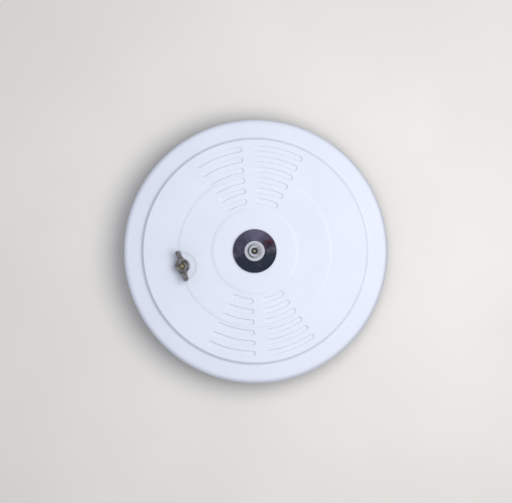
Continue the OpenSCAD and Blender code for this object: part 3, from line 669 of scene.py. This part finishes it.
class DETECTOR_OT_cover(bpy.types.Operator):
    """Models the pressed steel bell cover with its steps, grooves and folded rim"""

    bl_idname = "detector.cover"
    bl_label = "Bell Cover"

    def grooves(self, s, face, mid):
        """The grooves of one quarter and the dents that they make inside, mirrored to all four."""
        quarter = Draft("grooves")
        half, depth, sheet = s.groove_width / MM / 2, s.groove_depth / MM, s.sheet / MM
        wall = [(0.38, 0), (0.28, 0), (0.18, 0.015), (0.09, 0.06), (0.02, 0.15), (-0.05, 0.30),
                (-0.14, depth - 0.42), (-0.22, depth - 0.22), (-0.36, depth - 0.08), (-0.55, depth - 0.02),
                (-0.78, depth), (-0.95, depth)]
        first, pitch, count = s.first_groove / MM, s.groove_pitch / MM, s.grooves
        for i in range(count):
            r = first + pitch * i
            spoke = s.spoke_in / MM + (s.spoke_out - s.spoke_in) / MM * i / max(1, count - 1)
            start, stop = math.asin((spoke + half) / r), s.fan_half - half / r
            top = mid if r + half < s.mid_ring / MM + 1.2 else face
            quarter.loft([[(x, y, top - down) for x, y in groove_outline(r, start, stop, half + out)]
                          for out, down in wall], end_cap=True)
            under, foot = face - sheet, top - depth - sheet
            quarter.loft([[(x, y, z) for x, y in groove_outline(r, start, stop, half + out)]
                          for out, z in ((1.45, under), (1.3, under), (1.1, under - 0.1), (0.95, foot + 0.15),
                                         (0.75, foot), (0.5, foot))], end_cap=True)
        bpy.ops.object.mode_set(mode="OBJECT")
        modify(quarter.piece, "MIRROR", use_axis=(True, True, False))
        return quarter.piece

    def execute(self, context):
        s = context.scene.detector_cover
        sheet, ring, radius = s.sheet / MM, s.ring_step / MM, s.radius / MM
        top = POST_TOP
        mid, face = top - ring, top - 2 * ring
        band = face - s.step_height / MM
        under = face - sheet
        inner, outer = s.inner_ring / MM, s.mid_ring / MM
        quarter = self.grooves(s, face, mid)

        cover = Draft("bell_cover")
        hole, bend_r, band_w, flare, band_fall = 5.2, 4.0, 15.0, 0.8, 0.5
        cover.spin([(inner + 2.0, under), (inner + 1.8, under)]
                   + soft_step(inner + 1.5, inner - 1.2, under, top - sheet, 6)
                   + [(inner - 1.5, top - sheet), (hole + 0.6, top - sheet), (hole + 0.15, top - sheet),
                      (hole, top - sheet + 0.15), (hole, top - 0.18), (hole + 0.06, top - 0.05),
                      (hole + 0.18, top), (hole + 0.35, top), (20.0, top), (inner - 1.65, top)]
                   + soft_step(inner - 1.5, inner + 1.5, top, mid, 12) + [(inner + 1.65, mid)], 192)

        middle, bend = radius - flare - bend_r, band - band_fall - bend_r
        skirt = math.degrees(math.atan(flare / (bend - RIM_Z)))
        step = radius - band_w
        inside = arc((middle, bend), bend_r - sheet, skirt, 90, 8)
        cover.spin([(step - 2.25, face), (step - 2.1, face)]
                   + soft_step(step - 2.0, step + 0.4, face, band, 16)
                   + [(step + 1.4, band), (step + 5.0, band - 0.14), (middle - 1.2, band - 0.42)]
                   + arc((middle, bend), bend_r, 90, skirt, 14)
                   + [(radius - 0.25, RIM_Z + 5.0)]
                   + [(r - 0.03, z) for r, z in arc((radius - sheet, RIM_Z + sheet), sheet, 0, -180, 10)]
                   + [(radius - 2 * sheet - 0.06, RIM_Z + 2.75), (radius - 2 * sheet + 0.06, RIM_Z + 2.97),
                      (radius - 1.25 * sheet, RIM_Z + 3.0), (radius - 1.1 * sheet, RIM_Z + 3.08)]
                   + inside
                   + [(step + 1.4, band - sheet), (step + 1.1, band - sheet)]
                   + soft_step(step + 0.3, step - 3.1, band - sheet, under, 10)
                   + [(step - 3.2, under), (step - 3.35, under)], 256)

        bite = s.pad / MM + 1.0
        rings = [(-1.04, mid)] + soft_step(-0.94, 1.86, mid, face, 12) + [(1.98, face)]
        cover.loft([[(x, y, z) for x, y in zone_outline(outer, bite, 4.0, out)] for out, z in rings])

        key_hole = 3.5
        cover.spin([(key_hole + 0.45, face), (key_hole + 0.3, face), (key_hole + 0.1, face - 0.06),
                    (key_hole, face - 0.2), (key_hole, under + 0.2), (key_hole + 0.1, under + 0.05),
                    (key_hole + 0.3, under), (key_hole + 0.45, under)], 48, (WINDER.x, WINDER.y))

        bpy.ops.object.mode_set(mode="OBJECT")
        only(cover.piece, quarter)
        bpy.ops.object.join()
        bpy.ops.object.mode_set(mode="EDIT")
        cover.weld()
        for z in (mid, face, under):
            cover.fill(z)
        piece = cover.done(50)
        settle(piece, "housing", "white_enamel", "cover")
        return {"FINISHED"}


# ------------------------------------------------------------------ the fusible plug
class DETECTOR_OT_plug(bpy.types.Operator):
    """Turns the heat collector, the cup, the alloy in it and the pin that the alloy holds"""

    bl_idname = "detector.plug"
    bl_label = "Heat Collector and Fusible Plug"

    def execute(self, context):
        s = context.scene.detector_plug
        r, seat = s.collector / MM, POST_TOP + 0.8
        dish = Draft("heat_collector_dish")
        dish.spin([(3.62, seat), (8.0, seat), (12.0, seat - 0.12), (15.2, seat - 0.24), (16.3, seat - 0.36),
                   (r - 0.6, seat - 0.53), (r - 0.25, seat - 0.54), (r - 0.06, seat - 0.45), (r, seat - 0.25),
                   (r, seat + 0.25), (r - 0.02, seat + 0.33), (r - 0.07, seat + 0.38), (r - 0.15, seat + 0.40),
                   (r - 0.5, seat + 0.415), (r - 1.4, seat + 0.455), (r - 3.0, seat + 0.535), (13.0, seat + 0.60),
                   (11.0, seat + 0.685), (9.0, seat + 0.76), (8.0, seat + 0.79), (5.0, seat + 0.8),
                   (3.62, seat + 0.8)], 160, closed=True)
        settle(dish.done(60), "housing", "bright_chrome", "heat_collector")

        base = seat + 0.8
        low, high = node_box("fuse_cup")
        flange, cup, alloy, pin = s.flange / MM, s.cup / MM, s.alloy / MM, s.pin / MM
        foot = base + 1.5
        body = Draft("fusible_plug_cup")
        body.spin([(pin + 0.05, low.z), (3.1, low.z), (3.4, low.z + 0.15), (3.5, low.z + 0.45),
                   (3.5, base - 0.15), (3.65, base), (flange - 0.4, base), (flange - 0.12, base + 0.1),
                   (flange, base + 0.35), (flange, base + 0.85), (flange - 0.1, base + 1.15),
                   (flange - 0.35, base + 1.38), (flange - 0.7, foot), (flange - 1.05, foot),
                   (flange - 1.2, foot - 0.1), (flange - 1.4, foot - 0.16), (cup + 1.2, foot - 0.16),
                   (cup + 0.8, foot - 0.10), (cup + 0.5, foot + 0.1), (cup + 0.3, foot + 0.45),
                   (cup, foot + 1.2), (cup - 0.15, high.z - 0.35), (cup - 0.32, high.z - 0.14),
                   (cup - 0.6, high.z - 0.03), (cup - 0.85, high.z), (alloy + 0.5, high.z),
                   (alloy + 0.2, high.z - 0.05), (alloy + 0.02, high.z - 0.25), (alloy, high.z - 0.6),
                   (alloy, foot - 0.8), (pin + 0.05, foot - 0.8)], 96, closed=True)
        settle(body.done(50), "housing", "plated_cup", "fuse_cup")

        level = high.z - 1.0
        fill = Draft("fusible_alloy_fill")
        fill.spin([(pin + 0.055, foot - 0.79), (alloy - 0.01, foot - 0.79), (alloy - 0.01, level + 0.02),
                   (alloy - 0.12, level - 0.08), (alloy - 0.4, level - 0.2), (alloy - 0.85, level - 0.24),
                   (pin + 0.4, level - 0.18), (pin + 0.15, level - 0.04), (pin + 0.055, level + 0.02)],
                  72, closed=True)
        settle(fill.done(50), "housing", "fusible_alloy", "fuse_alloy")

        low, high = node_box("fuse_pin")
        rod = Draft("release_pin")
        rod.spin([(0.0, low.z), (pin, low.z), (pin, high.z - 0.35), (pin - 0.08, high.z - 0.16),
                  (pin - 0.28, high.z - 0.04), (pin - 0.6, high.z), (0.0, high.z)], 48)
        settle(rod.done(50), "plunger", "pin_brass", "fuse_pin")
        return {"FINISHED"}


# ------------------------------------------------------------------ the winding key
def slab(reach, width, low, high, direction, points=20):
    """A rounded upright section of a wing at a distance from the hub's middle."""
    loop = []
    for i in range(points):
        a = TURN * (i + 0.5) / points
        c, s_ = math.cos(a), math.sin(a)
        side = width / 2 * math.copysign(abs(c) ** 0.5, c)
        up = (low + high) / 2 + (high - low) / 2 * math.copysign(abs(s_) ** 0.5, s_)
        x, y = polar(reach, direction, (WINDER.x, WINDER.y))
        loop.append((x - side * math.sin(direction), y + side * math.cos(direction), up))
    return loop


class DETECTOR_OT_key(bpy.types.Operator):
    """Casts the wing key, its washer and the arbor's tip in its middle"""

    bl_idname = "detector.key"
    bl_label = "Winding Key"

    def execute(self, context):
        s = context.scene.detector_key
        foot, hub = KEY_FOOT, s.hub / MM
        top = foot + 7.5
        centre = (WINDER.x, WINDER.y)
        key = Draft("wing_key")
        key.spin([(2.5, foot), (hub - 0.5, foot), (hub - 0.1, foot + 0.25), (hub, foot + 0.7),
                  (hub - 0.5, top - 1.4), (hub - 0.7, top - 0.6), (hub - 1.2, top - 0.12), (hub - 1.9, top),
                  (hub - 2.6, top - 0.25), (3.0, top - 0.35), (2.5, top - 0.6)], 72, centre, closed=True)
        stretch = s.reach / MM / 12.8
        for side in (0, math.pi):
            stations = [(3.3, 7.4, 1.0, 6.4), (4.6, 6.8, 1.1, 6.8), (6.0, 5.7, 1.3, 7.5), (7.2, 4.8, 1.7, 8.3),
                        (8.4, 4.5, 2.4, 9.3), (9.6, 4.6, 3.2, 10.1), (10.6, 4.7, 3.9, 10.5), (11.4, 4.5, 4.5, 10.5),
                        (12.0, 4.0, 5.1, 10.3), (12.5, 3.1, 5.8, 9.8), (12.75, 2.0, 6.6, 9.0)]
            key.loft([slab(r * stretch, width * s.wing / MM / 4.0, foot + low, foot + high, s.turned + side)
                      for r, width, low, high in stations], start_cap=True, end_cap=True)
        piece = key.done(60)
        modify(piece, "REMESH", mode="VOXEL", voxel_size=0.2 * MM, use_smooth_shade=True)
        modify(piece, "SMOOTH", factor=0.5, iterations=5)
        shade(piece, 80)
        settle(piece, "winder", "key_casting", "winding_key")

        low, high = node_box("key_washer")
        r = (high.x - low.x) / 2
        washer = Draft("key_seat_washer")
        washer.spin([(2.52, low.z), (r - 0.25, low.z), (r, low.z + 0.2), (r, high.z - 0.2), (r - 0.25, high.z),
                     (2.52, high.z)], 64, centre, closed=True)
        settle(washer.done(50), "winder", "nut_steel", "key_washer")

        tip = Draft("winder_tip")
        end = node_box("winding_arbor")[1].z
        tip.spin([(0.0, end - 0.5), (2.35, end - 0.5), (2.35, end - 0.02), (2.1, end + 0.22), (1.75, end + 0.28),
                  (1.5, end + 0.12), (0.8, end - 0.05), (0.0, end - 0.1)], 48, centre)
        tip.done(50)
        tip.piece.data.materials.append(finish("winder_tip"))
        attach(tip.piece, "winder")
        return {"FINISHED"}


# ------------------------------------------------------------------ behind the cover
class DETECTOR_OT_movement(bpy.types.Operator):
    """Winds the plunger's coil spring and finishes the base plate, the movement and the hammer"""

    bl_idname = "detector.movement"
    bl_label = "Base Plate and Movement"

    def execute(self, context):
        low, high = node_box("plunger_spring")
        wire, turns, steps = 0.35, 4.5, 20
        r = high.x - wire - 0.02
        loops = []
        for i in range(int(turns * steps) + 1):
            a = TURN * i / steps
            z = low.z + wire + 0.02 + (high.z - low.z - 2 * wire - 0.04) * i / (turns * steps)
            loops.append([(*polar(r + wire * math.cos(b), a), z + wire * math.sin(b))
                          for b in (TURN * k / 10 for k in range(10))])
        coil = Draft("plunger_coil_spring")
        coil.loft(loops, start_cap=True, end_cap=True)
        piece = coil.done(60)
        piece.data.materials.append(finish("spring_steel"))
        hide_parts("plunger_spring")
        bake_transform(piece)

        for entry in frame["record"]["materials"]:
            for name in entry.get("nodes", []):
                mesh = frame["nodes"][name].data
                mesh.materials.clear()
                mesh.materials.append(finish(entry["slot"]))
        return {"FINISHED"}


# ------------------------------------------------------------------ the stage
FLOOR_HALF, FLOOR_DROP = 1600, 0.05
LAMP_PLACE, LAMP_AIM, LAMP_SIZE, LAMP_POWER = (0.18, 0.02, 0.55), (0, 0, 0.03), 0.42, 1.95
LENS, SENSOR, CAMERA_AWAY, AIM_HEIGHT = 703.0, 36.0, 8.0, 6.0
LEAN_RIGHT, LEAN_DOWN, ROLL = math.radians(1.75), math.radians(0.75), math.radians(3.8)
# Patches of the ceiling that the collector mirrors: x, y and size of the direction, share and colour.
CEILING_PATCHES = (
    (0.045, 0.055, 0.050, 1.0, (0.016, 0.014, 0.022)),
    (0.050, 0.064, 0.024, 0.9, (0.17, 0.030, 0.040)),
    (-0.125, 0.028, 0.036, 0.8, (0.030, 0.028, 0.045)),
    (-0.096, 0.058, 0.020, 0.8, (0.025, 0.022, 0.035)),
    (-0.080, 0.076, 0.018, 0.8, (0.025, 0.022, 0.035)),
    (-0.058, 0.090, 0.018, 0.8, (0.025, 0.022, 0.035)),
    (-0.070, 0.084, 0.009, 0.7, (0.30, 0.29, 0.30)),
    (-0.130, 0.004, 0.012, 0.8, (0.45, 0.45, 0.50)),
    (0.062, 0.016, 0.014, 0.8, (0.45, 0.42, 0.36)),
)


class DETECTOR_OT_stage(bpy.types.Operator):
    """Lays the floor and sets the lights, the surroundings and the camera"""

    bl_idname = "detector.stage"
    bl_label = "Stage"

    def floor(self, colours):
        sheet = Draft("floor")
        sheet.wire([(x * FLOOR_HALF, y * FLOOR_HALF, -FLOOR_DROP)
                    for x, y in ((-1, -1), (1, -1), (1, 1), (-1, 1))])
        bpy.ops.mesh.edge_face_add()
        bpy.ops.mesh.subdivide(number_cuts=3)
        bpy.ops.object.mode_set(mode="OBJECT")
        piece = sheet.piece
        if piece.data.polygons[0].normal.z < 0:
            piece.data.flip_normals()
        f = Finish("plain_floor")
        cloud = f.noise(f.at(), 120, 3)
        tone = f.mix(cloud.between(0.3, 0.7), scaled(colours.floor, 0.98), scaled(colours.floor, 1.02))
        paper = f.node("ShaderNodeBsdfPrincipled", None, {"Base Color": tone, "Roughness": 0.85,
                                                         "Normal": f.bump(f.noise(f.at(), 0.8, 3), 0.04, 0.5)})
        behind = f.node("ShaderNodeNewGeometry", output=6)
        clear = f.node("ShaderNodeBsdfTransparent")
        shown = f.node("ShaderNodeMixShader", None, {0: behind, 1: paper, 2: clear})
        f.node("ShaderNodeOutputMaterial", None, {"Surface": shown})
        piece.data.materials.append(f.material)
        # The back plate lies on the floor, so the floor lets the room's light reach it from below.
        piece.visible_diffuse = piece.visible_glossy = piece.visible_shadow = False

    def surroundings(self, scene):
        """A pale room whose ceiling, which the plate mirrors, is dark below and violet grey above."""
        world = bpy.data.worlds.new("studio")
        world.use_nodes = True
        scene.world = world
        f = Finish("studio", world.node_tree)
        ray = f.node("ShaderNodeTexCoord", output=0)
        x, y, z = f.parts(ray)
        blotch = f.node("ShaderNodeTexNoise", None, {"Vector": ray, "Scale": 22.0, "Detail": 3.0})
        height = y + 0.05 * (blotch - 0.5)
        ceiling = f.mix(height.between(-0.004, 0.012), (0.034, 0.043, 0.066), (0.125, 0.116, 0.185))
        streak = f.node("ShaderNodeTexNoise", None,
                        {"Vector": ray, "Scale": 48.0, "Detail": 4.0, "Distortion": 0.6})

        def spot(at_x, at_y, size):
            far = ((x - at_x) ** 2.0 + (y - at_y) ** 2.0) ** 0.5 + 0.5 * size * (streak - 0.5)
            return 1.0 - far.between(0.35 * size, size)

        ceiling = f.mix(spot(-0.01, 0.10, 0.07), ceiling, (0.21, 0.20, 0.30))
        smear = streak.between(0.50, 0.64) * height.between(0.0, 0.02) * 0.7
        ceiling = f.mix(smear, ceiling, (0.05, 0.04, 0.075))
        for at_x, at_y, size, share, tint in CEILING_PATCHES:
            ceiling = f.mix(spot(at_x, at_y, size) * share, ceiling, tint)
        room = f.mix(x * 0.5 + 0.5, (0.53, 0.55, 0.61), (0.69, 0.69, 0.72))
        shown = f.mix(z.between(0.955, 0.985), room, ceiling)
        light = f.node("ShaderNodeBackground", None, {"Color": shown, "Strength": 0.92})
        f.node("ShaderNodeOutputWorld", None, {"Surface": light})

    def lamp(self):
        """One round soft light over the cover, which shows in no mirror."""
        bpy.ops.object.light_add(type="AREA")
        lamp = bpy.context.object
        lamp.name, lamp.visible_glossy, lamp.visible_camera = "overhead_softbox", False, False
        lamp.data.shape, lamp.data.size = "DISK", LAMP_SIZE
        lamp.data.energy, lamp.data.color = LAMP_POWER, (1.0, 0.997, 0.99)
        lamp.location = LAMP_PLACE
        lamp.rotation_euler = (Vector(LAMP_AIM) - Vector(LAMP_PLACE)).to_track_quat("-Z", "Y").to_euler()

    def camera(self, scene):
        """A long lens far in front of the cover, leaning a little and rolled."""
        bpy.ops.object.camera_add()
        camera = bpy.context.object
        camera.name = "camera"
        camera.data.lens, camera.data.sensor_width = LENS, SENSOR
        camera.data.clip_start, camera.data.clip_end = 0.01, 20.0
        aim = Vector((0.0, 0.0, AIM_HEIGHT)) * MM
        back = Vector((math.sin(LEAN_RIGHT), -math.sin(LEAN_DOWN), 1.0)).normalized()
        side = Vector((math.sin(ROLL), math.cos(ROLL), 0.0)).cross(back).normalized()
        turn = Matrix((side, back.cross(side), back)).transposed().to_4x4()
        camera.matrix_world = Matrix.Translation(aim + back * CAMERA_AWAY) @ turn
        scene.camera = camera

    def execute(self, context):
        scene = context.scene
        scene.view_settings.view_transform = "Standard"
        self.floor(scene.detector_colours)
        self.surroundings(scene)
        self.lamp()
        self.camera(scene)
        return {"FINISHED"}


class DETECTOR_PT_sidebar(bpy.types.Panel):
    """Lists the sizes, the colours and the operators that build the detector"""

    bl_idname = "DETECTOR_PT_sidebar"
    bl_label = "Heat Detector"
    bl_space_type = "VIEW_3D"
    bl_region_type = "UI"
    bl_category = "Heat Detector"

    def draw(self, context):
        for group in (context.scene.detector_cover, context.scene.detector_plug, context.scene.detector_key,
                      context.scene.detector_colours):
            box = self.layout.box()
            for name in group.__annotations__:
                box.prop(group, name)
        for operator in OPERATORS:
            self.layout.operator(operator.bl_idname)


OPERATORS = (DETECTOR_OT_cover, DETECTOR_OT_plug, DETECTOR_OT_key, DETECTOR_OT_movement, DETECTOR_OT_stage)
GROUPS = {"detector_cover": CoverSizes, "detector_plug": PlugSizes, "detector_key": KeySizes,
          "detector_colours": Colours}


def register():
    for item in (*GROUPS.values(), *OPERATORS, DETECTOR_PT_sidebar):
        bpy.utils.register_class(item)
    for name, group in GROUPS.items():
        setattr(bpy.types.Scene, name, PointerProperty(type=group))


def unregister():
    for name in GROUPS:
        delattr(bpy.types.Scene, name)
    for item in reversed((*GROUPS.values(), *OPERATORS, DETECTOR_PT_sidebar)):
        bpy.utils.unregister_class(item)


def main():
    register()
    bpy.ops.detector.cover()
    bpy.ops.detector.plug()
    bpy.ops.detector.key()
    bpy.ops.detector.movement()
    bpy.ops.detector.stage()


if __name__ == "__main__":
    main()
